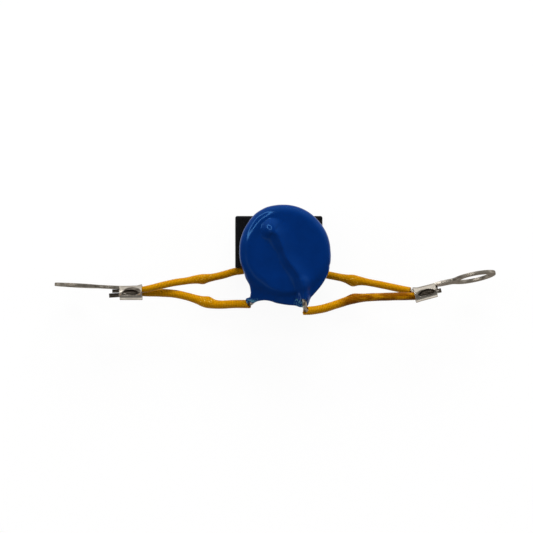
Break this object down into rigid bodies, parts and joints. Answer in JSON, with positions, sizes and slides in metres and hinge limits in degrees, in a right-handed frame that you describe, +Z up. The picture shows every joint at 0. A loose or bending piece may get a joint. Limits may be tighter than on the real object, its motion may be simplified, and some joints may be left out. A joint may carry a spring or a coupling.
{
  "type": "disc varistor with parallel film capacitor on ring terminals",
  "caption": "Surge suppressor: a coated disc varistor wired across a box film capacitor, with sleeved leads crimped in pairs into ring terminals.",
  "frame": {"origin": "middle of the capacitor case's flat back face, which the part lies on", "axes": "+X along the leads towards the right-hand terminal, +Y from the lead side of the case to its closed side, +Z up out of the case's back, towards the varistor's front face"},
  "size_m": [0.1024, 0.0256, 0.0133],
  "materials": {
    "blue_epoxy": "glossy dipped epoxy with soft flow marks",
    "zinc_oxide": "sintered, matt",
    "fired_silver": "screen-printed and fired silver",
    "solder": "dull reflowed solder",
    "tinned_wire": "bright tinned copper",
    "black_plastic": "fine matt moulded shell",
    "potting_resin": "cast resin with a slight sag",
    "film_roll": "metallised film",
    "sprayed_zinc": "rough sprayed metal",
    "yellow_sleeve": "woven fibre tube, varnished",
    "tinned_terminal": "tin-plated, a little dull, with drawn edges"
  },
  "bodies": {
    "root": {"varistor_coating": "blue_epoxy", "zinc_oxide_disc": "zinc_oxide", "front_electrode": "fired_silver", "rear_electrode": "fired_silver", "front_solder_joint": "solder", "rear_solder_joint": "solder", "front_lead": "tinned_wire", "rear_lead": "tinned_wire", "capacitor_case": "black_plastic", "capacitor_potting": "potting_resin", "capacitor_winding": "film_roll", "left_end_spray": "sprayed_zinc", "right_end_spray": "sprayed_zinc", "left_capacitor_lead": "tinned_wire", "right_capacitor_lead": "tinned_wire", "front_left_sleeve": "yellow_sleeve", "front_right_sleeve": "yellow_sleeve", "rear_left_sleeve": "yellow_sleeve", "rear_right_sleeve": "yellow_sleeve", "left_ring_terminal": "tinned_terminal", "right_ring_terminal": "tinned_terminal"}
  },
  "joints": []
}
